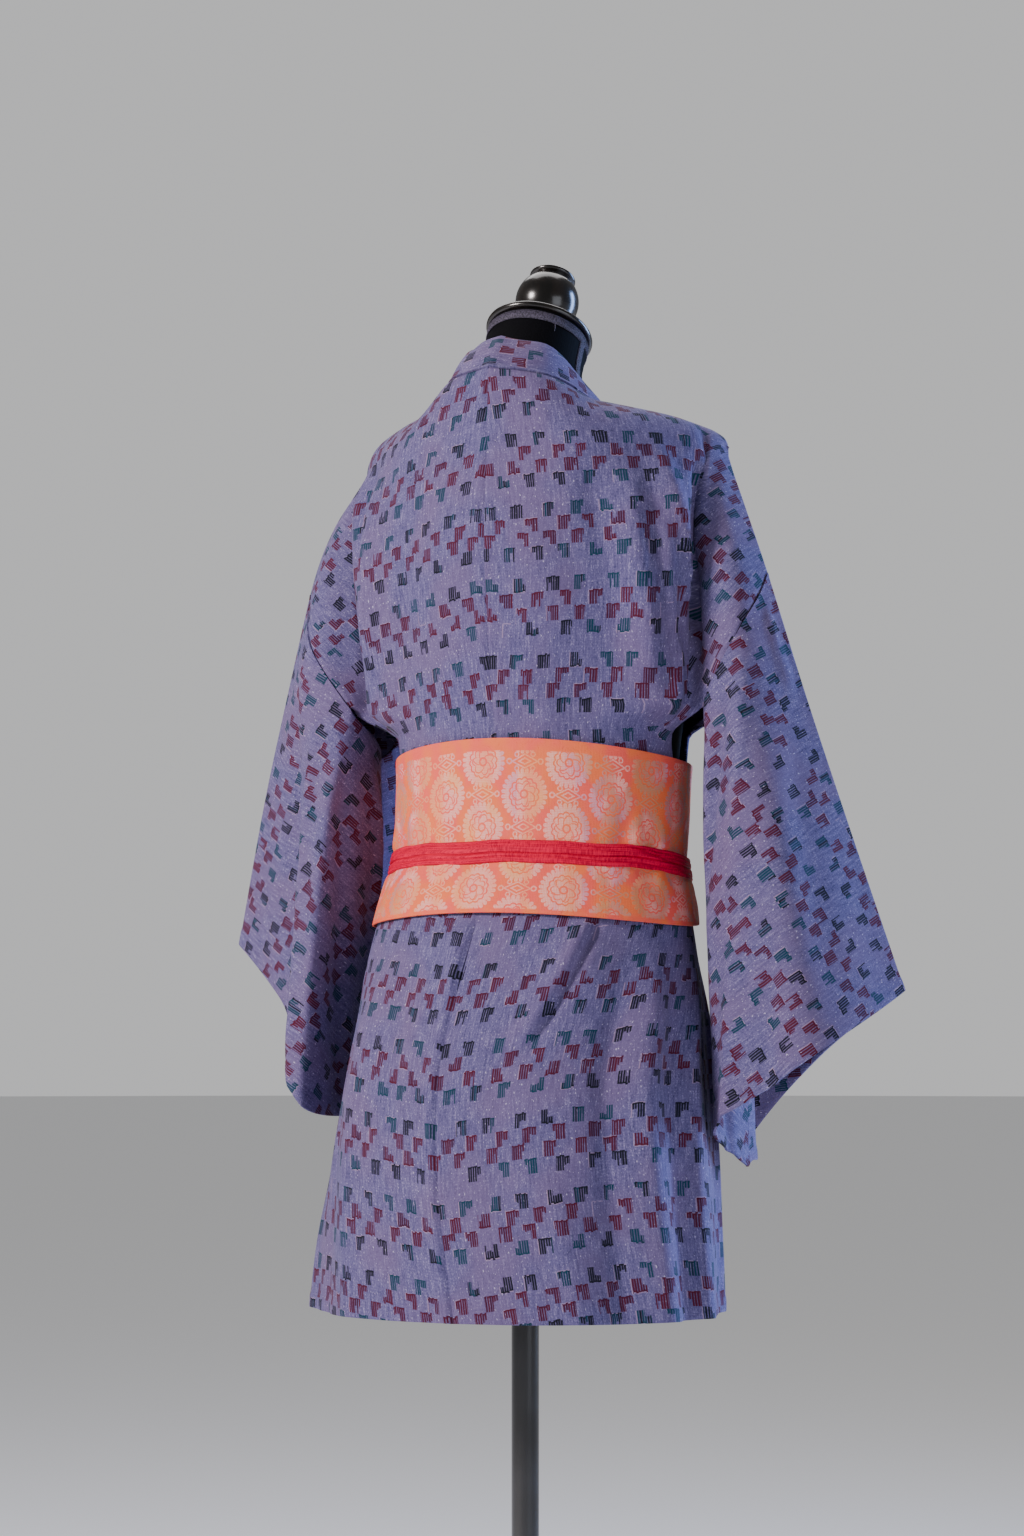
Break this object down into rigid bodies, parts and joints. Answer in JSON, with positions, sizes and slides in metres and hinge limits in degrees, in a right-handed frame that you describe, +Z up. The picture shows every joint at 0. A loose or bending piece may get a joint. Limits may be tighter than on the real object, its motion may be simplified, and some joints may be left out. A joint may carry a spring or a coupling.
{
  "type": "haori jacket on a dress form",
  "caption": "Short kasuri haori jacket with obi and red waist tie, worn by a black limbless dress form on a pole stand.",
  "frame": {"origin": "on the floor under the pole, at the centre of the base", "axes": "+Z up; the jacket's front faces -Y; the wearer's right is -X"},
  "size_m": [0.6734, 0.36, 1.5348],
  "materials": {
    "kasuri_cloth": "matte",
    "obi_brocade": "satin",
    "tie_crimson": "satin",
    "form_jersey": "matte",
    "lacquered_wood": "gloss",
    "black_enamel": "gloss"
  },
  "bodies": {
    "root": {"body_right": "kasuri_cloth", "body_left": "kasuri_cloth", "sleeve_right": "kasuri_cloth", "sleeve_left": "kasuri_cloth", "collar": "kasuri_cloth", "obi": "obi_brocade", "waist_tie": "tie_crimson", "tie_knot": "tie_crimson", "tie_end_right": "tie_crimson", "tie_end_left": "tie_crimson", "form_torso": "form_jersey", "neck_cap": "lacquered_wood", "neck_knob": "lacquered_wood", "pole": "black_enamel", "base": "black_enamel"}
  },
  "joints": []
}
